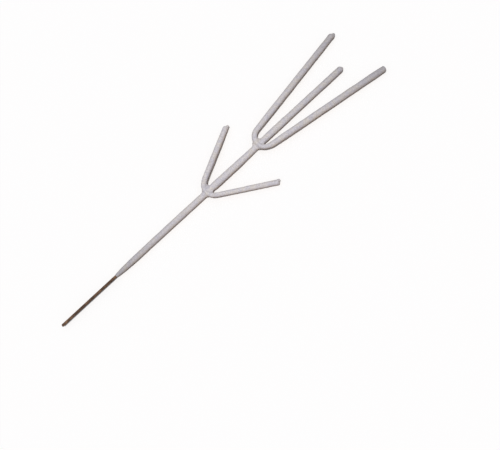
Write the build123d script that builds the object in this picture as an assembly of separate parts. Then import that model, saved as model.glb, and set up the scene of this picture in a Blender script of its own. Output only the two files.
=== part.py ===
"""Branched wire sparkler lying flat: a bare wire handle, a coated stem and two coated forks.

The stem is one straight wire. Two bent fork wires are welded on top of it, and wires and welds carry a
thick dried coat that leaves the handle bare. Millimetres and degrees. The stem's axis is the X axis, the
free end of the handle is the origin, +Y is to the left of the stem and +Z points up from the table.
"""
import os
from math import asin, copysign, degrees

from build123d import *

# Wires and welds
stem_wire_d = 3.5
fork_wire_d = 2.5
wire_end_chamfer = 0.3
weld_set_down = 0.4  # depth to which a fork wire is pressed into the stem wire
weld_d = 3.6
weld_height = 1.5
weld_round = 0.5

# Lengths along the stem wire
handle_length = 93.5  # free end to the edge of the coat
lower_span = 153.7  # edge of the coat to the lower fork
middle_span = 85.3  # lower fork to upper fork
upper_span = 133.5  # upper fork to the end of the wire

# Coat on the stem, as thickness on the wire
coat_edge = 0.4
coat_taper = 34.5  # length over which the coat grows from its edge to the full thickness
lower_coat = 2.25
lower_fork_pinch = 2.15  # thickness where the stem passes under the lower fork
middle_coat = 2.65
upper_fork_pinch = 2.15
upper_coat = 2.5
under_fork = 5.0  # even stretch on each side of a fork
swell_length = 12.0  # length over which the coat swells past a fork
pinch_length = 32.0  # length over which it thins ahead of a fork
dip_line = 49.0  # upper fork to the edge of the thicker dip
dip_edge = 1.2  # length of the step at that edge
upper_thin_coat = 2.2  # past the dip line
stem_tip_cover = 2.8  # coat past the end of the stem wire
stem_tip_round = 2.6

# Wire paths of the forks
lower_bend_radius = 14.0
lower_left_elbow_radius = 26.0
lower_left_elbow_turn = 22.0
lower_left_arm_angle = 29.4
lower_left_arm = 68.5
lower_right_elbow_radius = 28.0
lower_right_elbow_turn = 15.2
lower_right_arm_angle = 32.2
lower_right_arm = 73.0
upper_bend_radius = 12.3
upper_left_elbow_radius = 18.5
upper_left_elbow_turn = 59.6
upper_left_arm_angle = 10.4
upper_left_arm = 145.5
upper_right_elbow_radius = 32.0
upper_right_elbow_turn = 15.8
upper_right_arm_angle = 9.2
upper_right_arm = 150.7

# Coat on the forks, as thickness on the wire
bend_coat = 1.75  # where a fork crosses the stem
lower_left_root_coat = 2.25  # at the end of the elbow
lower_left_arm_coat = 2.45
lower_left_tip_coat = 2.35
lower_right_root_coat = 1.45
lower_right_arm_coat = 2.0
lower_right_tip_coat = 2.25
upper_left_root_coat = 2.25
upper_left_arm_coat = 2.55
upper_left_tip_coat = 2.45
upper_right_root_coat = 2.3
upper_right_arm_coat = 2.7
upper_right_tip_coat = 2.6
arm_root = 2.0  # even stretch past the elbow
arm_swell = 16.0  # length over which the coat thickens along the arm
arm_end = 7.0  # even stretch at the tip
arm_end_step = 14.0  # length over which the coat changes to the tip's thickness
tip_cover = 3.0  # coat past the end of a fork wire
tip_round = 1.6

# Drop that dried on the end of the upper left arm
drop_d = 4.2
drop_length = 4.0
drop_side = 0.9  # step from the arm's axis towards the stem
drop_round = 1.6

# Places and radii that follow from the sizes above
stem_r = stem_wire_d / 2
fork_r = fork_wire_d / 2
lower_fork_x = handle_length + lower_span
upper_fork_x = lower_fork_x + middle_span
stem_end_x = upper_fork_x + upper_span
fork_lift = stem_r + fork_r - weld_set_down
table_z = -stem_r - max(lower_coat, middle_coat, upper_coat)


def ease(start, end):
    """Edge between two (length, radius) points, level at both."""
    middle = (start[0] + end[0]) / 2
    return Bezier(start, (middle, start[1]), (middle, end[1]), end)


def stepped(lands):
    """Edges along lands (start, end, radius) of even thickness, with an eased step between neighbours."""
    edges = []
    for (start, end, radius), (next_start, _, next_radius) in zip(lands, lands[1:]):
        edges += [Line((start, radius), (end, radius)), ease((end, radius), (next_start, next_radius))]
    start, end, radius = lands[-1]
    return [*edges, Line((start, radius), (end, radius))]


def blunt(lands, corner):
    """Stepped edges with a rounded corner past the last land."""
    _, end, radius = lands[-1]
    return [*stepped(lands), CenterArc((end, radius - corner), corner, 90, -90)]


def turned(outline):
    """Solid of revolution about X under an outline of edges that starts and ends off the axis."""
    first, last = outline[0] @ 0, outline[-1] @ 1
    start, end = (first.X, 0), (last.X, 0)
    edges = [Line(start, (first.X, first.Y)), *outline, Line((last.X, last.Y), end), Line(end, start)]
    return revolve(make_face(Curve() + edges), Axis.X)


def turn_centre(radius, turn):
    """Centre of a bend that starts at the origin and heads along X; a positive turn is to the left."""
    return Pos(0, copysign(radius, turn), 0)


def past_bend(here, radius, turn):
    centre = turn_centre(radius, turn)
    return here * centre * Rot(0, 0, turn) * centre.inverse()


def bend(here, tube_r, radius, turn):
    """Bent round bar from a place, heading along that place's X axis."""
    axis = Axis(turn_centre(radius, turn).position, (0, 0, copysign(1, turn)))
    return here * revolve(Plane.YZ * Circle(tube_r), axis, abs(turn))


def turn_line(radius, turn):
    """Centre line of a bend that starts at the origin and heads along X."""
    return CenterArc(turn_centre(radius, turn).position, radius, copysign(90, -turn), turn)


def bar(here, tube_r, length):
    return here * extrude(Plane.YZ * Circle(tube_r), length)


def joined(bars):
    """One solid of bars that meet end to end or overlap."""
    return bars[0] + bars[1:]


class Limb:
    """One side of a fork in the fork's own plane: an elbow and a straight arm, past the end of the bend."""

    def __init__(self, side, bend_radius, elbow_radius, elbow_turn, arm_angle, arm, coats):
        self.bend_turn = 90 - arm_angle - elbow_turn
        self.elbow_radius, self.elbow_turn = elbow_radius, -side * elbow_turn
        self.arm = arm
        self.root_r, self.arm_r, self.tip_r = [fork_r + coat for coat in coats]
        self.elbow = past_bend(Rot(0, 0, 90 * side), bend_radius, -side * self.bend_turn)
        self.root = past_bend(self.elbow, self.elbow_radius, self.elbow_turn)

    def droop(self):
        """Angle at which the coated tip comes to rest on the table."""
        tip = self.root * Pos(self.arm + tip_cover, 0, 0)
        return degrees(asin((fork_lift - table_z - self.tip_r) / tip.position.X))

    def wire(self):
        return [
            bend(self.elbow, fork_r, self.elbow_radius, self.elbow_turn),
            bar(self.root, fork_r, self.arm),
        ]

    def coated_elbow(self, bend_r):
        """Elbow whose coat changes evenly from the bend's thickness to that of the arm's root."""
        line = self.elbow * turn_line(self.elbow_radius, self.elbow_turn)
        start = self.elbow * (Plane.YZ * Circle(bend_r))
        end = self.root * (Plane.YZ * Circle(self.root_r))
        return sweep([start, end], line, multisection=True)

    def coated_arm(self, tip_x):
        """Thickens from the elbow along the arm and ends blunt at a distance from its root."""
        flat_x = tip_x - tip_round
        end_x = flat_x - arm_end
        lands = [
            (0, arm_root, self.root_r),
            (arm_root + arm_swell, end_x - arm_end_step, self.arm_r),
            (end_x, flat_x, self.tip_r),
        ]
        return self.root * turned(blunt(lands, tip_round))


class Fork:
    """Two limbs and the bend that joins them over the stem, with the apex of the bend at the origin."""

    def __init__(self, bend_radius, left, right):
        self.bend_radius, self.left, self.right = bend_radius, left, right

    def across(self, tube_r):
        inwards = self.left.elbow * Rot(0, 0, 180)
        return bend(inwards, tube_r, self.bend_radius, self.left.bend_turn + self.right.bend_turn)

    def wire(self):
        return joined([self.across(fork_r), *self.left.wire(), *self.right.wire()])

    def coat(self, arms):
        """Outside of the coat."""
        bend_r = fork_r + bend_coat
        elbows = [limb.coated_elbow(bend_r) for limb in (self.left, self.right)]
        return joined([self.across(bend_r), *elbows, *arms])

    def place(self, fork_x):
        """Apex on top of the stem, both arms drooping until the first coated tip touches the table."""
        droop = min(self.left.droop(), self.right.droop())
        return Pos(fork_x, 0, fork_lift) * Rot(0, droop, 0)


def make_stem_wire():
    """Straight wire, turned about its axis so that its surface's seam lies underneath."""
    wire = bar(Rot(-90, 0, 0), stem_r, stem_end_x)
    ends = wire.faces().filter_by(GeomType.PLANE).edges()
    return chamfer(ends, wire_end_chamfer)


def make_weld(fork_x, wires):
    """Ring of squeezed-out weld metal round the place where a fork wire crosses the stem wire."""
    disc = Cylinder(weld_d / 2, weld_height)
    disc = fillet(disc.edges().filter_by(GeomType.CIRCLE), weld_round)
    return Pos(fork_x, 0, stem_r - weld_set_down / 2) * disc - wires


def lower_stem_outline():
    edge = (handle_length, stem_r + coat_edge)
    full_x, full_r = handle_length + coat_taper, stem_r + lower_coat
    knee = (handle_length + coat_taper / 2, full_r)
    pinch_x = lower_fork_x - under_fork
    lands = [
        (full_x, pinch_x - pinch_length, full_r),
        (pinch_x, lower_fork_x, stem_r + lower_fork_pinch),
    ]
    return [Bezier(edge, knee, (full_x, full_r)), *stepped(lands)]


def middle_stem_outline():
    swell_x = lower_fork_x + under_fork
    pinch_x = upper_fork_x - under_fork
    return stepped([
        (lower_fork_x, swell_x, stem_r + lower_fork_pinch),
        (swell_x + swell_length, pinch_x - pinch_length, stem_r + middle_coat),
        (pinch_x, upper_fork_x, stem_r + upper_fork_pinch),
    ])


def upper_stem_outline():
    """Swells past the fork, steps down at the dip line and ends blunt."""
    swell_x = upper_fork_x + under_fork
    step_x = upper_fork_x + dip_line
    flat_x = stem_end_x + stem_tip_cover - stem_tip_round
    lands = [
        (upper_fork_x, swell_x, stem_r + upper_fork_pinch),
        (swell_x + swell_length, step_x, stem_r + upper_coat),
        (step_x + dip_edge, flat_x, stem_r + upper_thin_coat),
    ]
    return blunt(lands, stem_tip_round)


def arm_with_drop(limb):
    """Coated arm that ends in a shoulder with a small drop on one side of it."""
    tip_x = limb.arm + tip_cover
    shoulder_x = tip_x - drop_length
    lands = [(shoulder_x - arm_end, tip_x - drop_round, drop_d / 2)]
    drop = Pos(0, -drop_side, 0) * turned(blunt(lands, drop_round))
    return joined([limb.coated_arm(shoulder_x), limb.root * drop])


lower_left = Limb(
    side=1,
    bend_radius=lower_bend_radius,
    elbow_radius=lower_left_elbow_radius,
    elbow_turn=lower_left_elbow_turn,
    arm_angle=lower_left_arm_angle,
    arm=lower_left_arm,
    coats=(lower_left_root_coat, lower_left_arm_coat, lower_left_tip_coat),
)
lower_right = Limb(
    side=-1,
    bend_radius=lower_bend_radius,
    elbow_radius=lower_right_elbow_radius,
    elbow_turn=lower_right_elbow_turn,
    arm_angle=lower_right_arm_angle,
    arm=lower_right_arm,
    coats=(lower_right_root_coat, lower_right_arm_coat, lower_right_tip_coat),
)
upper_left = Limb(
    side=1,
    bend_radius=upper_bend_radius,
    elbow_radius=upper_left_elbow_radius,
    elbow_turn=upper_left_elbow_turn,
    arm_angle=upper_left_arm_angle,
    arm=upper_left_arm,
    coats=(upper_left_root_coat, upper_left_arm_coat, upper_left_tip_coat),
)
upper_right = Limb(
    side=-1,
    bend_radius=upper_bend_radius,
    elbow_radius=upper_right_elbow_radius,
    elbow_turn=upper_right_elbow_turn,
    arm_angle=upper_right_arm_angle,
    arm=upper_right_arm,
    coats=(upper_right_root_coat, upper_right_arm_coat, upper_right_tip_coat),
)
lower_fork = Fork(lower_bend_radius, lower_left, lower_right)
upper_fork = Fork(upper_bend_radius, upper_left, upper_right)
lower_place = lower_fork.place(lower_fork_x)
upper_place = upper_fork.place(upper_fork_x)

# Wires: each fork wire is seated in a saddle on the stem wire
stem_wire = make_stem_wire()
lower_fork_wire = lower_place * lower_fork.wire() - stem_wire
upper_fork_wire = upper_place * upper_fork.wire() - stem_wire
lower_fork_weld = make_weld(lower_fork_x, [stem_wire, lower_fork_wire])
upper_fork_weld = make_weld(upper_fork_x, [stem_wire, upper_fork_wire])

# Coats: the forks' coats lie over the stem, and the stem's coats are saddled under them
lower_arms = [limb.coated_arm(limb.arm + tip_cover) for limb in (lower_left, lower_right)]
upper_arms = [arm_with_drop(upper_left), upper_right.coated_arm(upper_right.arm + tip_cover)]
lower_fork_outside = lower_place * lower_fork.coat(lower_arms)
upper_fork_outside = upper_place * upper_fork.coat(upper_arms)
lower_metal = [stem_wire, lower_fork_wire, lower_fork_weld]
upper_metal = [stem_wire, upper_fork_wire, upper_fork_weld]
pieces = {
    "stem_wire": stem_wire,
    "lower_fork_wire": lower_fork_wire,
    "upper_fork_wire": upper_fork_wire,
    "lower_fork_weld": lower_fork_weld,
    "upper_fork_weld": upper_fork_weld,
    "lower_fork_coat": lower_fork_outside - lower_metal,
    "upper_fork_coat": upper_fork_outside - upper_metal,
    "lower_stem_coat": turned(lower_stem_outline()) - lower_fork_outside - lower_metal,
    "middle_stem_coat": turned(middle_stem_outline())
    - [lower_fork_outside, upper_fork_outside]
    - [*lower_metal, *upper_metal],
    "upper_stem_coat": turned(upper_stem_outline()) - upper_fork_outside - upper_metal,
}

os.makedirs("parts", exist_ok=True)
for name, piece in pieces.items():
    export_step(piece, f"parts/{name}.step")
    box = piece.bounding_box()
    print(f"{name}: {piece.volume:.1f} mm3, x {box.min.X:.1f} to {box.max.X:.1f} mm")
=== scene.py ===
# %% [markdown]
# # A branched sparkler, dressed for a picture
#
# The real object is a straight steel wire with two bent wires welded across it. The whole frame is
# dipped upside down in a grey slurry of metal powder, salts and glue, hung up to dry, and dipped again,
# so only the handle stays bare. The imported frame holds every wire, weld and span of coat at its true
# size. This lesson gives them their dried, lumpy surface and their finish.

from collections import namedtuple
from math import asin, cos, pi, radians, sin

import bmesh
import bpy
from mathutils import Euler, Matrix, Vector, noise


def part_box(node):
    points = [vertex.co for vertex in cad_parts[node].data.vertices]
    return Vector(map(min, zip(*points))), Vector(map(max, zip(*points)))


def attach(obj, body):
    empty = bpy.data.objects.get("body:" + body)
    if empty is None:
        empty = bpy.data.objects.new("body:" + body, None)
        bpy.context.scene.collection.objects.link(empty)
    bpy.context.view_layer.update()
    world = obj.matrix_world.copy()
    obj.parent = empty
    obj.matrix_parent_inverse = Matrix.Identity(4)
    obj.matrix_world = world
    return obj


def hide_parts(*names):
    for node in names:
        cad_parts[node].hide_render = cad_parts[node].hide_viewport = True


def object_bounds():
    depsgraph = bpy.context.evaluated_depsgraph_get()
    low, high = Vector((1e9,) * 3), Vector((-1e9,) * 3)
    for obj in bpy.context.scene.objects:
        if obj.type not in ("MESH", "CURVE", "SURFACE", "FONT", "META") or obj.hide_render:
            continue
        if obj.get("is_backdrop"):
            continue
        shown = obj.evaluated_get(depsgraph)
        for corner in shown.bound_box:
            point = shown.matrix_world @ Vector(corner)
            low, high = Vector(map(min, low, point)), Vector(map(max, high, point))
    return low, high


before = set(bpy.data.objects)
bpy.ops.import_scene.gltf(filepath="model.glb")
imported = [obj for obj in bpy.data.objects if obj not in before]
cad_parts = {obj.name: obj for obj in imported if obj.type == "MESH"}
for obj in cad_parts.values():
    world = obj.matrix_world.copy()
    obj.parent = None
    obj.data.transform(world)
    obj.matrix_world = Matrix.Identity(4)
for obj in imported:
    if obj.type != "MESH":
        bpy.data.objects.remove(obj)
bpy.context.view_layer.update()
MM = 0.001

# %% [markdown]
# ## The sizes that the surface follows
#
# All shapes below are worked out in millimetres and turned to metres at the end. The bends follow the
# frame's wires closely. A limb is one side of a fork: from the top of the bend it runs round the bend,
# through an elbow, and out along a straight arm. Its coat is a list of (distance from the arm's root,
# radius), and a ball is a drop of slurry that dried on it at (distance, step to the left, radius). A web
# is a drop that dried in a corner of the crossing, at (step ahead of the bend, step to the left, height,
# radius).

# %% Sizes in millimetres
Limb = namedtuple("Limb", "bend_radius elbow_radius elbow_turn arm_angle coat balls")
Fork = namedtuple("Fork", "apex_x apex_r webs left right")

HANDLE_LENGTH = 93.5
STEM_WIRE_R = 1.75
FORK_LIFT = 2.6
TABLE_Z = -4.4
STEM_TIP_X = 468.2

lower_fork = Fork(
    apex_x=247.2,
    apex_r=3.0,
    webs=[(-1.2, 3.6, 1.2, 3.0), (5.3, 4.2, 0.3, 2.5), (-1.5, -3.7, 1.2, 2.5)],
    left=Limb(
        bend_radius=14.0,
        elbow_radius=26.0,
        elbow_turn=22.0,
        arm_angle=29.4,
        coat=[(-10, 3.5), (0, 3.5), (25, 3.7), (50, 3.7), (70.6, 3.6)],
        balls=[(71.3, -1.7, 2.1)],
    ),
    right=Limb(
        bend_radius=14.0,
        elbow_radius=28.0,
        elbow_turn=15.2,
        arm_angle=32.2,
        coat=[(-10, 3.0), (0, 3.0), (25, 3.05), (45, 3.3), (62, 3.3), (75.4, 3.5)],
        balls=[(75.0, 2.1, 2.0), (73.8, -1.5, 2.0)],
    ),
)
upper_fork = Fork(
    apex_x=332.5,
    apex_r=3.0,
    webs=[(-2.4, 3.9, 1.2, 3.0), (4.2, 4.0, 0.3, 2.5), (-1.0, -4.0, 1.2, 2.5)],
    left=Limb(
        bend_radius=19.0,
        elbow_radius=14.2,
        elbow_turn=59.6,
        arm_angle=10.4,
        coat=[(-17, 3.45), (0, 3.5), (25, 3.85), (110, 3.85), (148.9, 3.75)],
        balls=[(149.7, -1.1, 2.4), (147.3, -2.3, 2.0), (145.9, 2.1, 2.4)],
    ),
    right=Limb(
        bend_radius=12.3,
        elbow_radius=32.0,
        elbow_turn=15.8,
        arm_angle=9.2,
        coat=[(-13, 2.85), (0, 3.55), (10, 3.95), (140, 4.0), (155.3, 3.7)],
        balls=[(15.8, 3.1, 1.3), (-2.8, 2.8, 1.3)],
    ),
)
for label in ("lower_fork_coat", "upper_fork_coat"):
    low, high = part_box(label)
    print(label, "runs from x", round(low.x / MM, 1), "to", round(high.x / MM, 1), "mm")

# %% [markdown]
# ## Where the wires run
#
# A wire could be drawn as a Bezier curve and bevelled, but its thickness would then follow only the few
# control points. Here a small walker steps along the wire half a millimetre at a time and turns as the
# bends turn, which gives a plain list of points. Each limb is walked from the top of the bend to its tip,
# and its fork is tipped until the first arm's coat touches the table, as the real one lies.

# %% Walk along the wires
STEP = 0.5


def walk(heading, runs):
    """Points in the XY plane along runs of (length, turn in degrees to the left), from the origin."""
    points = [Vector((0, 0, 0))]
    for length, turn in runs:
        count = round(length / STEP)
        for _ in range(count):
            heading += turn / count / 2
            ahead = Vector((cos(radians(heading)), sin(radians(heading)), 0))
            points.append(points[-1] + ahead * length / count)
            heading += turn / count / 2
    return points


def limb_runs(limb):
    """Runs of (length, turn in degrees) along a limb: the bend from its top, the elbow and the arm."""
    bend_turn = 90 - limb.arm_angle - limb.elbow_turn
    tip, _ = limb.coat[-1]
    return [
        (limb.bend_radius * radians(bend_turn), bend_turn),
        (limb.elbow_radius * radians(limb.elbow_turn), limb.elbow_turn),
        (tip, 0),
    ]


def limb_root(limb):
    """Length of wire from the top of the bend to the start of the straight arm."""
    (bend_length, _), (elbow_length, _), _ = limb_runs(limb)
    return bend_length + elbow_length


def limb_points(limb, side):
    """Points along a limb from the top of the bend; side is 1 for the left limb and -1 for the right."""
    return walk(90 * side, [(length, -side * turn) for length, turn in limb_runs(limb)])


def fork_place(fork, left, right):
    """Matrix that sets the apex on the stem and tips the fork until an arm's coat touches the table."""
    tilts = []
    for limb, points in ((fork.left, left), (fork.right, right)):
        _, tip_r = limb.coat[-1]
        tilts.append(asin((FORK_LIFT - TABLE_Z - tip_r) / points[-1].x))
    return Matrix.Translation((fork.apex_x, 0, FORK_LIFT)) @ Matrix.Rotation(min(tilts), 4, "Y")


for fork in (lower_fork, upper_fork):
    roots = [round(limb_root(limb), 1) for limb in (fork.left, fork.right)]
    print("arms start", roots, "mm along the wire from the apex")

# %% [markdown]
# ## Where the coat dried off centre
#
# Between the forks the wet coat sagged to one side of the stem. Ahead of the lower fork it also dried
# thicker on top, on the stem and on the left arm. Moving the coat's line shows both, and each move fades
# out smoothly, so that the coat stays in line with its wire elsewhere.

# %% Sag and rise of the coat
SAG_CENTRE_X, SAG_HALF_LENGTH, SAG_SIDE = 292.0, 95.0, -0.45
RISE_CENTRE_X, RISE_HALF_LENGTH, RISE_BLEND = 280.0, 48.0, 6.0
RISE = Vector((0, -0.8, 1.5))


def nearness(x, centre, half_length):
    """1 at the centre, falling smoothly to 0 at half the length on either side."""
    return max(0, 1 - ((x - centre) / half_length) ** 2) ** 2


def risen(point):
    """A point lifted and pushed to the right ahead of the lower fork, except on the right arm."""
    share = min(1, max(0, 1 + point.y / RISE_BLEND))
    return point + RISE * share * nearness(point.x, RISE_CENTRE_X, RISE_HALF_LENGTH)


def stem_point(x):
    """Centre of the stem's coat, which also sagged to one side between the forks as it dried."""
    sag = SAG_SIDE * nearness(x, SAG_CENTRE_X, SAG_HALF_LENGTH)
    return risen(Vector((x, 0, 0))) + Vector((0, sag, 0))


stem_count = round((STEM_TIP_X - HANDLE_LENGTH) / STEP)
stem_points = [
    stem_point(HANDLE_LENGTH + (STEM_TIP_X - HANDLE_LENGTH) * i / stem_count) for i in range(stem_count + 1)
]
print("stem", len(stem_points), "points")

# %% [markdown]
# ## How thick the coat is
#
# Slurry drains while it dries. It is thin at the edge of the dip by the handle, thick where it sagged,
# and blunt at each tip. A list of stations (distance, radius) with an eased step between neighbours says
# this in a few numbers, and the last stretch before a tip is rounded off.

# %% Thickness along the coat
COAT_EDGE_R, COAT_TAPER = 2.15, 34.5
TIP_CORNER, STEM_TIP_CORNER = 1.8, 3.0
TIP_BLUNTNESS, LEAST_SHARE = 2.5, 0.02


def eased(stations, distance):
    """Radius at a distance, level at every station and smooth between them."""
    for (start, radius), (end, next_radius) in zip(stations, stations[1:]):
        if distance <= end:
            share = min(1, max(0, (distance - start) / (end - start)))
            return radius + (next_radius - radius) * share * share * (3 - 2 * share)
    return stations[-1][1]


def rounded(distance, tip, corner):
    """Share of the full radius that is left at a distance; more bluntness gives a flatter end."""
    share = min(1, max(0, (distance - tip + corner) / corner))
    return max(LEAST_SHARE, 1 - share**TIP_BLUNTNESS) ** (1 / TIP_BLUNTNESS)


def limb_radii(fork, limb, count):
    """Radii of the coat at evenly spaced points of a limb, from the top of the bend to the tip."""
    root = limb_root(limb)
    tip, _ = limb.coat[-1]
    stations = [(-root, fork.apex_r), *limb.coat]
    distances = [-root + (root + tip) * i / (count - 1) for i in range(count)]
    return [eased(stations, distance) * rounded(distance, tip, TIP_CORNER) for distance in distances]


stem_stations = [
    (128, 3.9),
    (214, 4.05),
    (240, 3.9),
    (252, 3.9),
    (262, 4.7),
    (276, 4.5),
    (290, 4.4),
    (326, 3.9),
    (338, 3.9),
    (350, 4.3),
    (381.5, 4.2),
    (382.7, 4.0),
    (454, 3.9),
    (STEM_TIP_X, 3.9),
]


def stem_radius(x):
    """Radius of the stem's coat, which grows from a thin edge at the handle."""
    grown = min(1, (x - HANDLE_LENGTH) / COAT_TAPER)
    full = eased(stem_stations, x) * rounded(x, STEM_TIP_X, STEM_TIP_CORNER)
    return COAT_EDGE_R + (full - COAT_EDGE_R) * grown * (2 - grown)


stem_radii = [stem_radius(point.x) for point in stem_points]
print("coat at most", round(max(stem_radii), 2), "mm from the stem's centre")

# %% [markdown]
# ## Round bars along the wires
#
# Each bar is a row of rings, square to the line, skinned with four-sided faces and closed at both ends.
# A drop is a ball that is partly sunk into a bar.

# %% Bars and balls
RING_SIDES = 40
BALL_SUBDIVISIONS = 3


def add_bar(mesh, points, radii):
    """Round bar along a line of points, with a radius for each point."""
    rings = []
    for i, (point, radius) in enumerate(zip(points, radii)):
        ahead = (points[min(i + 1, len(points) - 1)] - points[max(i - 1, 0)]).normalized()
        side = Vector((0, 0, 1)).cross(ahead).normalized()
        up = ahead.cross(side)
        turns = [2 * pi * k / RING_SIDES for k in range(RING_SIDES)]
        rings.append([mesh.verts.new(point + (side * cos(a) + up * sin(a)) * radius) for a in turns])
    for ring, following in zip(rings, rings[1:]):
        for k in range(RING_SIDES):
            after = (k + 1) % RING_SIDES
            mesh.faces.new((ring[k], ring[after], following[after], following[k]))
    mesh.faces.new(reversed(rings[0]))
    mesh.faces.new(rings[-1])


def add_ball(mesh, centre, radius):
    """Round drop of slurry."""
    place = Matrix.Translation(centre)
    bmesh.ops.create_icosphere(mesh, subdivisions=BALL_SUBDIVISIONS, radius=radius, matrix=place)


def add_balls(mesh, place, points, limb):
    """Balls of slurry on a limb, placed along its straight arm and then moved with the fork."""
    tip, _ = limb.coat[-1]
    ahead = (points[-1] - points[-2]).normalized()
    left = Vector((0, 0, 1)).cross(ahead)
    for along, step, radius in limb.balls:
        centre = points[-1] + ahead * (along - tip) + left * step
        add_ball(mesh, place @ centre, radius)


print("bars have rings of", RING_SIDES, "corners")

# %% [markdown]
# ## The bars in their places
#
# The stem comes first, with the drop at its tip. Each fork is one bar from its left tip to its right tip,
# set on the stem, with its balls and webs. They all go into one mesh and still pass through each other
# where they cross.

# %% Lay out the bars
STEM_DROP_PLACE, STEM_DROP_R = (-1.5, -0.6, 0), 2.8

bars = bmesh.new()
add_bar(bars, stem_points, stem_radii)
add_ball(bars, stem_points[-1] + Vector(STEM_DROP_PLACE), STEM_DROP_R)
for fork in (lower_fork, upper_fork):
    left, right = limb_points(fork.left, 1), limb_points(fork.right, -1)
    place = fork_place(fork, left, right)
    left_radii = limb_radii(fork, fork.left, len(left))
    right_radii = limb_radii(fork, fork.right, len(right))
    line = [risen(place @ point) for point in [*reversed(left), *right[1:]]]
    add_bar(bars, line, [*reversed(left_radii), *right_radii[1:]])
    add_balls(bars, place, left, fork.left)
    add_balls(bars, place, right, fork.right)
    for ahead, step, height, radius in fork.webs:
        add_ball(bars, Vector((fork.apex_x + ahead, step, height)), radius)
coat_mesh = bpy.data.meshes.new("dried_coat")
bars.to_mesh(coat_mesh)
bars.free()
coat = bpy.data.objects.new("dried_coat", coat_mesh)
bpy.context.scene.collection.objects.link(coat)
print("bars:", len(coat_mesh.polygons), "faces")

# %% [markdown]
# ## One skin over the crossings
#
# Wet slurry runs into the corners where the wires cross and dries there as a soft web. Voxel remeshing
# fuses the bars into one skin, and a swell, a second remesh and an equal shrink round every inner corner
# while the outside keeps its size. A smoothing modifier alone would thin the bars as it rounds them.

# %% Fuse and round the crossings
VOXEL = 0.6
WEB_RADIUS = 1.2
SMOOTHING, SMOOTHING_ROUNDS = 0.5, 4


def apply_modifiers(piece):
    """Makes the modified shape the piece's own mesh."""
    shaped = piece.evaluated_get(bpy.context.evaluated_depsgraph_get())
    piece.data = bpy.data.meshes.new_from_object(shaped)
    piece.modifiers.clear()


def add_modifier(piece, kind, **settings):
    """Adds a modifier of a kind, with its settings."""
    modifier = piece.modifiers.new(kind.lower(), kind)
    for name, value in settings.items():
        setattr(modifier, name, value)


add_modifier(coat, "REMESH", mode="VOXEL", voxel_size=VOXEL)
add_modifier(coat, "DISPLACE", strength=WEB_RADIUS, mid_level=0)
add_modifier(coat, "REMESH", mode="VOXEL", voxel_size=VOXEL)
add_modifier(coat, "DISPLACE", strength=-WEB_RADIUS, mid_level=0)
add_modifier(coat, "SMOOTH", factor=SMOOTHING, iterations=SMOOTHING_ROUNDS)
apply_modifiers(coat)
print("fused coat:", len(coat.data.polygons), "faces")

# %% [markdown]
# ## Sags, lumps and grain
#
# The dried coat is never true: it sags over a centimetre or two, and grains of metal stand out of it.
# Bump in a material would leave the outline smooth, so the skin itself moves, each corner along its own
# normal by a sum of noises at the real sizes.

# %% Sag and grain
WAVE_LENGTH, WAVE_DEPTH = 14.0, 0.2
LUMP_LENGTH, LUMP_DEPTH = 4.0, 0.13
GRAIN_LENGTH, GRAIN_DEPTH = 1.4, 0.07

coat.data.update()
normals = [vertex.normal.copy() for vertex in coat.data.vertices]
for vertex, normal in zip(coat.data.vertices, normals):
    place = vertex.co.copy()
    rise = WAVE_DEPTH * noise.noise(place / WAVE_LENGTH)
    rise += LUMP_DEPTH * noise.noise(place / LUMP_LENGTH)
    rise += GRAIN_DEPTH * noise.noise(place / GRAIN_LENGTH)
    vertex.co = place + normal * rise
print("coat moved at", len(normals), "corners")

# %% [markdown]
# ## Five spans of coat
#
# The coat belongs to five pieces of the frame: three spans on the stem and one on each fork. Booleans
# with a block for each span would also divide it. Here the fused skin is cut square across the stem on
# both sides of each crossing, which leaves no step in the surface from one span to the next.

# %% Cut the coat into spans
CUT_BEHIND, CUT_AHEAD = 8.0, 10.0
STEM_REACH, CUT_MARGIN = 5.4, 3.0
cuts = []
for fork in (lower_fork, upper_fork):
    cuts += [fork.apex_x - CUT_BEHIND, fork.apex_x + CUT_AHEAD]


def near_stem(centre):
    """True for a face of the stem's own coat, from its distance to the middle of that coat."""
    return (centre - stem_point(centre.x)).length < STEM_REACH


def span_of(centre):
    """Name of the span that a face belongs to, from its centre."""
    if near_stem(centre) and centre.x < cuts[0]:
        return "lower_stem_coat"
    if near_stem(centre) and cuts[1] < centre.x < cuts[2]:
        return "middle_stem_coat"
    if near_stem(centre) and centre.x > cuts[3]:
        return "upper_stem_coat"
    return "lower_fork_coat" if centre.x < cuts[2] else "upper_fork_coat"


whole = bmesh.new()
whole.from_mesh(coat.data)
for cut in cuts:
    centres = [(face, face.calc_center_median()) for face in whole.faces]
    faces = [face for face, centre in centres if abs(centre.x - cut) < CUT_MARGIN and near_stem(centre)]
    edges = {edge for face in faces for edge in face.edges}
    corners = {corner for face in faces for corner in face.verts}
    near_cut = [*faces, *edges, *corners]
    bmesh.ops.bisect_plane(whole, geom=near_cut, plane_co=(cut, 0, 0), plane_no=(1, 0, 0))
bpy.data.objects.remove(coat)
print("coat cut at x", [round(cut, 1) for cut in cuts], "mm")

# %% [markdown]
# ## Closing the spans
#
# Each span keeps its own faces and is closed by a flat face at each cut, so that the spans meet face to
# face. The rim of a cut is marked sharp, or the shading would bend round it. Each span then stands for the
# frame's plain piece of coat.

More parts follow.
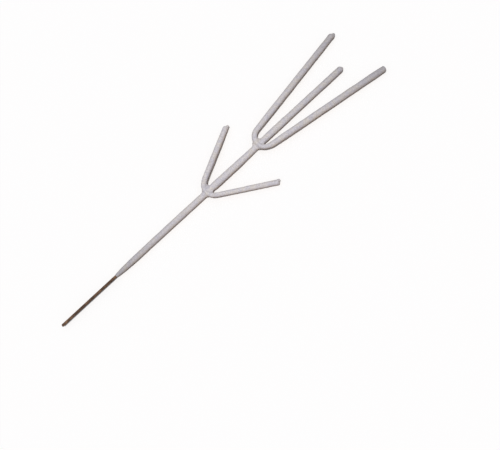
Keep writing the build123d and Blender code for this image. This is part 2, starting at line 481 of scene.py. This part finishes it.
# %% Close each span
spans = {}
span_names = [
    "lower_stem_coat",
    "middle_stem_coat",
    "upper_stem_coat",
    "lower_fork_coat",
    "upper_fork_coat",
]
for name in span_names:
    part = whole.copy()
    others = [face for face in part.faces if span_of(face.calc_center_median()) != name]
    bmesh.ops.delete(part, geom=others, context="FACES")
    for face in part.faces:
        face.smooth = True
    rims = [edge for edge in part.edges if edge.is_boundary]
    caps = bmesh.ops.holes_fill(part, edges=rims)["faces"]
    for edge in rims:
        edge.smooth = False
    bmesh.ops.scale(part, vec=(MM, MM, MM), verts=part.verts)
    mesh = bpy.data.meshes.new(f"{name}_skin")
    part.to_mesh(mesh)
    part.free()
    spans[name] = bpy.data.objects.new(f"{name}_skin", mesh)
    bpy.context.scene.collection.objects.link(spans[name])
    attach(spans[name], "root")
    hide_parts(name)
    print(name, len(mesh.polygons), "faces,", len(caps), "cut ends")
whole.free()

# %% [markdown]
# ## The bare handle
#
# The handle is drawn steel wire, brown from storage, sheared off by a cutter that squeezed its end a
# little. A cylinder would be too true, so the wire is a bar of rings again, with a gentle waviness from
# straightening. Its last millimetres swell and tilt, and the edge of the cut is broken.

# %% Shape the wire
WIRE_END_X = 466.0
BULGE_LENGTH, BULGE = 2.5, 0.08
SHEAR_TILT, CUT_EDGE = 0.16, 0.25
WIRE_WAVE_LENGTH, WIRE_WAVE = 9.0, 0.035

wire_points, wire_radii = [], []
count = round(WIRE_END_X / STEP)
for i in range(count + 1):
    x = WIRE_END_X * i / count
    squeezed = max(0, 1 - x / BULGE_LENGTH)
    wave = WIRE_WAVE * noise.noise((x / WIRE_WAVE_LENGTH, 0, 0))
    wire_points.append(Vector((x, 0, 0)))
    wire_radii.append(STEM_WIRE_R * (1 + BULGE * squeezed) + wave)
wire_radii[0] -= CUT_EDGE
bar = bmesh.new()
add_bar(bar, wire_points, wire_radii)
for corner in bar.verts:
    squeezed = max(0, 1 - corner.co.x / BULGE_LENGTH)
    corner.co.x += SHEAR_TILT * (corner.co.z + corner.co.y) * squeezed
for face in bar.faces:
    face.smooth = len(face.verts) < RING_SIDES
bmesh.ops.scale(bar, vec=(MM, MM, MM), verts=bar.verts)
wire_mesh = bpy.data.meshes.new("stem_wire_drawn")
bar.to_mesh(wire_mesh)
bar.free()
stem_wire = bpy.data.objects.new("stem_wire_drawn", wire_mesh)
bpy.context.scene.collection.objects.link(stem_wire)
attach(stem_wire, "root")
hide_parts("stem_wire")
print("stem wire:", len(wire_mesh.polygons), "faces")

# %% [markdown]
# ## Tools for the finishes
#
# Colours are written as sRGB hex, as a colour picker shows them, and turned to the linear values that
# Blender's shaders work in. One function adds any node, sets it and links it.

# %% Colour and node helpers
def linear(hex_colour):
    """Linear RGBA of an sRGB hex colour."""
    channels = [int(hex_colour[i : i + 2], 16) / 255 for i in (1, 3, 5)]
    return (*[c / 12.92 if c <= 0.04045 else ((c + 0.055) / 1.055) ** 2.4 for c in channels], 1)


def add_node(tree, kind, inputs=None, stops=(), **settings):
    """Adds a node: settings are its properties, inputs are values or other nodes' outputs by socket."""
    made = tree.nodes.new(kind)
    for name, value in settings.items():
        setattr(made, name, value)
    for socket, value in (inputs or {}).items():
        if isinstance(value, bpy.types.NodeSocket):
            tree.links.new(value, made.inputs[socket])
        else:
            made.inputs[socket].default_value = value
    for i, (position, colour) in enumerate(stops):
        element = made.color_ramp.elements[i] if i < 2 else made.color_ramp.elements.new(position)
        element.position = position
        element.color = colour
    return made


def grey(level):
    """A neutral linear colour, used to lighten or darken another."""
    return (level, level, level, 1)


def repeats(size):
    """Scale of a pattern, in repeats per metre, from its size in millimetres."""
    return 1 / MM / size


def new_material(name):
    """A material with no nodes yet, and its node tree."""
    material = bpy.data.materials.new(name)
    material.use_nodes = True
    material.node_tree.nodes.clear()
    return material, material.node_tree


# Sockets of a Mix node that mixes colours: its share, its two colours and its result
MIX_SHARE, MIX_FIRST, MIX_SECOND, MIXED = 0, 6, 7, 2
print("middle grey #808080 is", round(linear("#808080")[0], 3), "in linear light")

# %% [markdown]
# ## Dried sparkler composition
#
# A dried slurry of aluminium and iron powder, oxidiser and glue: matte and chalky, light grey with a
# faint lilac cast, clouded where it dried unevenly and freckled with filings. Painted shade, standing in
# for light that falls off away from the middle, makes it palest in the middle of the object and greyer
# towards the handle and the tips.

# %% Coat colour
CLOUD_SIZE = 6.0
FALLOFF_SHADE_START, FALLOFF_SHADE_END = 90.0, 500.0

coat_material, tree = new_material("dried_sparkler_composition")
coords = add_node(tree, "ShaderNodeTexCoord").outputs["Object"]
along = add_node(tree, "ShaderNodeSeparateXYZ", {"Vector": coords}).outputs["X"]
share = add_node(
    tree, "ShaderNodeMapRange", {"Value": along, "From Min": FALLOFF_SHADE_START * MM, "From Max": FALLOFF_SHADE_END * MM}
)
# Painted shade as of falling-off light: the coat is palest in the middle and darker towards the handle and
# the tips.
falloff_shade_stops = [
    (0.0, grey(0.6)),
    (0.08, grey(0.75)),
    (0.17, grey(0.86)),
    (0.3, grey(0.94)),
    (0.43, grey(1)),
    (0.65, grey(0.96)),
    (0.82, grey(0.85)),
    (0.92, grey(0.74)),
    (1.0, grey(0.6)),
]
painted_falloff_shade = add_node(tree, "ShaderNodeValToRGB", {"Fac": share.outputs[0]}, stops=falloff_shade_stops)
clouds = add_node(tree, "ShaderNodeTexNoise", {"Vector": coords, "Scale": repeats(CLOUD_SIZE), "Detail": 2})
cloud_stops = [(0.35, linear("#ccc9d1")), (0.5, linear("#d1cdd1")), (0.66, linear("#d5cfcc"))]
cloud = add_node(tree, "ShaderNodeValToRGB", {"Fac": clouds.outputs["Fac"]}, stops=cloud_stops)
# The clouds are the coat's own colour; the painted shade along the stem is multiplied onto them.
clouds_and_falloff_shade = add_node(
    tree,
    "ShaderNodeMix",
    {MIX_SHARE: 1, MIX_FIRST: cloud.outputs["Color"], MIX_SECOND: painted_falloff_shade.outputs["Color"]},
    data_type="RGBA",
    blend_type="MULTIPLY",
)
print("tones from", FALLOFF_SHADE_START, "to", FALLOFF_SHADE_END, "mm along the stem, clouds of", CLOUD_SIZE, "mm")

# %% [markdown]
# ## Grain and filings in the coat
#
# Grains of about a millimetre lighten and darken the coat, and duller specks of filings lie about two
# millimetres apart. The skin's corners are too far apart for the finest relief, so bump adds that.

# %% Coat grain and finish
GRAIN_SIZE, GRAIN_BUMP = 1.4, 0.12
GRIT_SIZE, GRIT_BUMP = 0.6, 0.05
FLECK_SPACING = 2.2

grains = add_node(tree, "ShaderNodeTexNoise", {"Vector": coords, "Scale": repeats(GRAIN_SIZE), "Detail": 3})
grain_stops = [(0.3, grey(0.78)), (0.6, grey(1.06))]
grain = add_node(tree, "ShaderNodeValToRGB", {"Fac": grains.outputs["Fac"]}, stops=grain_stops)
grained = add_node(
    tree,
    "ShaderNodeMix",
    {MIX_SHARE: 1, MIX_FIRST: clouds_and_falloff_shade.outputs[MIXED], MIX_SECOND: grain.outputs["Color"]},
    data_type="RGBA",
    blend_type="MULTIPLY",
)
flecks = add_node(tree, "ShaderNodeTexVoronoi", {"Vector": coords, "Scale": repeats(FLECK_SPACING)})
fleck_stops = [(0.12, grey(1)), (0.2, grey(0))]
fleck = add_node(tree, "ShaderNodeValToRGB", {"Fac": flecks.outputs["Distance"]}, stops=fleck_stops)
freckled = add_node(
    tree,
    "ShaderNodeMix",
    {
        MIX_SHARE: fleck.outputs["Color"],
        MIX_FIRST: grained.outputs[MIXED],
        MIX_SECOND: linear("#a49d99"),
    },
    data_type="RGBA",
)
grit = add_node(tree, "ShaderNodeTexNoise", {"Vector": coords, "Scale": repeats(GRIT_SIZE), "Detail": 2})
coarse = add_node(
    tree, "ShaderNodeBump", {"Height": grains.outputs["Fac"], "Distance": GRAIN_BUMP * MM, "Strength": 1}
)
fine = add_node(
    tree,
    "ShaderNodeBump",
    {"Height": grit.outputs["Fac"], "Distance": GRIT_BUMP * MM, "Strength": 1, "Normal": coarse.outputs[0]},
)
shader = add_node(
    tree,
    "ShaderNodeBsdfPrincipled",
    {
        "Base Color": freckled.outputs[MIXED],
        "Metallic": 0,
        "Roughness": 0.85,
        "Normal": fine.outputs[0],
    },
)
add_node(tree, "ShaderNodeOutputMaterial", {"Surface": shader.outputs[0]})
for piece in spans.values():
    piece.data.materials.append(coat_material)
print(coat_material.name, "on", len(spans), "spans")

# %% [markdown]
# ## Drawn steel wire, browned
#
# Low-carbon steel wire, drawn through a die, straightened and left to brown in the air: fine lines run
# along it, with thin rust over the metal in blotches of a few millimetres. The die's own lines would be
# too fine to show, so they are drawn half a millimetre wide.

# %% Wire material
BLOTCH_SIZE, LINE_WIDTH, LINE_LENGTH, LINE_BUMP = 5.0, 0.5, 30.0, 0.04

wire_material, tree = new_material("drawn_steel_wire_browned")
coords = add_node(tree, "ShaderNodeTexCoord").outputs["Object"]
blotches = add_node(
    tree, "ShaderNodeTexNoise", {"Vector": coords, "Scale": repeats(BLOTCH_SIZE), "Detail": 4}
)
blotch_stops = [(0.3, linear("#331f0f")), (0.5, linear("#503724")), (0.72, linear("#785a42"))]
brown = add_node(tree, "ShaderNodeValToRGB", {"Fac": blotches.outputs["Fac"]}, stops=blotch_stops)
stretched = add_node(
    tree,
    "ShaderNodeMapping",
    {"Vector": coords, "Scale": (LINE_WIDTH / LINE_LENGTH, 1, 1)},
)
lines = add_node(
    tree, "ShaderNodeTexNoise", {"Vector": stretched.outputs[0], "Scale": repeats(LINE_WIDTH), "Detail": 2}
)
line_stops = [(0.3, grey(0.8)), (0.7, grey(1.15))]
line_tone = add_node(tree, "ShaderNodeValToRGB", {"Fac": lines.outputs["Fac"]}, stops=line_stops)
lined = add_node(
    tree,
    "ShaderNodeMix",
    {MIX_SHARE: 1, MIX_FIRST: brown.outputs["Color"], MIX_SECOND: line_tone.outputs["Color"]},
    data_type="RGBA",
    blend_type="MULTIPLY",
)
bare = add_node(
    tree,
    "ShaderNodeMapRange",
    {"Value": blotches.outputs["Fac"], "From Min": 0.35, "From Max": 0.75, "To Max": 0.3},
)
rough = add_node(
    tree,
    "ShaderNodeMapRange",
    {"Value": blotches.outputs["Fac"], "From Min": 0.3, "From Max": 0.75, "To Min": 0.85, "To Max": 0.65},
)
scored = add_node(
    tree, "ShaderNodeBump", {"Height": lines.outputs["Fac"], "Distance": LINE_BUMP * MM, "Strength": 1}
)
shader = add_node(
    tree,
    "ShaderNodeBsdfPrincipled",
    {
        "Base Color": lined.outputs[MIXED],
        "Metallic": bare.outputs[0],
        "Roughness": rough.outputs[0],
        "Normal": scored.outputs[0],
    },
)
add_node(tree, "ShaderNodeOutputMaterial", {"Surface": shader.outputs[0]})
stem_wire.data.materials.append(wire_material)
for name in ("lower_fork_wire", "upper_fork_wire", "lower_fork_weld", "upper_fork_weld"):
    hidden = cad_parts[name]
    hidden.data.materials.clear()
    hidden.data.materials.append(wire_material)
print(wire_material.name, "on the stem wire, the fork wires and the welds")

# %% [markdown]
# ## The table
#
# The sparkler lies on a plain table that keeps its shadow. A Light Path node lets one plane be two things:
# white paper where the camera or a shiny surface sees it, and a brown board for bounced light, so that the
# underside of the coat stays dark and warm as it would on wood.

# %% Table
TABLE_SIZE = 4000.0
low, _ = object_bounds()
table_mesh = bpy.data.meshes.new("table")
half = TABLE_SIZE * MM / 2
corners = [(-half, -half, 0), (half, -half, 0), (half, half, 0), (-half, half, 0)]
table_mesh.from_pydata(corners, [], [(0, 1, 2, 3)])
table = bpy.data.objects.new("table", table_mesh)
table.location = (0, 0, low.z)
bpy.context.scene.collection.objects.link(table)
table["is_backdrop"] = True


def seen_directly(tree):
    """1 for rays from the camera, a mirror or glass, and 0 for bounced light."""
    rays = add_node(tree, "ShaderNodeLightPath").outputs
    seen = rays["Is Camera Ray"]
    for other in ("Is Glossy Ray", "Is Transmission Ray"):
        seen = add_node(tree, "ShaderNodeMath", {0: seen, 1: rays[other]}, operation="MAXIMUM").outputs[0]
    return seen


table_material, tree = new_material("table_top")
board = add_node(tree, "ShaderNodeBsdfDiffuse", {"Color": linear("#a08060")})
paper = add_node(tree, "ShaderNodeBsdfDiffuse", {"Color": linear("#ffffff")})
surfaces = {0: seen_directly(tree), 1: board.outputs[0], 2: paper.outputs[0]}
mixed = add_node(tree, "ShaderNodeMixShader", surfaces)
add_node(tree, "ShaderNodeOutputMaterial", {"Surface": mixed.outputs[0]})
table_mesh.materials.append(table_material)
print("table top at", round(low.z / MM, 2), "mm")

# %% [markdown]
# ## The light
#
# One soft lamp stands nearly overhead, tipped towards the right of the stem, where the camera is, and a
# weak even fill comes from all round. A sun lamp is used because its light is the same everywhere, so its
# level can be written as a share of white: lamp and fill together make white paper just white. Its angles
# are in degrees.

# %% Light
LAMP_ELEVATION, LAMP_AZIMUTH = 78.0, -90.0
LAMP_SPREAD = 6.0
LAMP_LEVEL, FILL_LEVEL = 0.76, 0.24

lamp_data = bpy.data.lights.new("soft_lamp", "SUN")
lamp_data.angle = radians(LAMP_SPREAD)
lamp_data.energy = LAMP_LEVEL * pi / sin(radians(LAMP_ELEVATION))
lamp_data.color = linear("#fffefd")[:3]
lamp = bpy.data.objects.new("soft_lamp", lamp_data)
lamp.rotation_euler = Euler((0, radians(90 - LAMP_ELEVATION), radians(LAMP_AZIMUTH)))
bpy.context.scene.collection.objects.link(lamp)

world = bpy.data.worlds.new("studio")
bpy.context.scene.world = world
world.use_nodes = True
tree = world.node_tree
tree.nodes.clear()
fill = add_node(tree, "ShaderNodeBackground", {"Color": linear("#fbfbff"), "Strength": FILL_LEVEL})
white = add_node(tree, "ShaderNodeBackground", {"Color": linear("#ffffff"), "Strength": 1})
backgrounds = {0: seen_directly(tree), 1: fill.outputs[0], 2: white.outputs[0]}
mixed = add_node(tree, "ShaderNodeMixShader", backgrounds)
add_node(tree, "ShaderNodeOutputWorld", {"Surface": mixed.outputs[0]})
print("lamp", LAMP_LEVEL, "and fill", FILL_LEVEL, "of white on the table")

# %% [markdown]
# ## The camera
#
# The camera looks down on the sparkler from the right of its stem, turned so that the stem runs from the
# lower left of the picture to the upper right. Its place is in millimetres and its turn in degrees.

# %% Camera
CAMERA_PLACE = (294.18, -284.26, 545.12)
CAMERA_TURN = (14.166, 16.596, -39.669)
SENSOR_WIDTH, LENS = 36, 36
camera_data = bpy.data.cameras.new("camera")
camera_data.sensor_width = SENSOR_WIDTH
camera_data.lens = LENS
camera = bpy.data.objects.new("camera", camera_data)
camera.location = Vector(CAMERA_PLACE) * MM
camera.rotation_euler = Euler([radians(turn) for turn in CAMERA_TURN])
bpy.context.scene.collection.objects.link(camera)
bpy.context.scene.camera = camera
bpy.context.scene.view_settings.view_transform = "Standard"
print("camera", round(camera.location.length, 3), "m from the handle's end")

# %% [markdown]
# ## The dressed object's size
#
# The box round the dressed object is printed in millimetres. The dressed object may stand only
# a little proud of the frame.

# %% Sizes and finish
low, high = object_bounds()
print("dressed box in mm:", [round(side / MM, 1) for side in high - low])
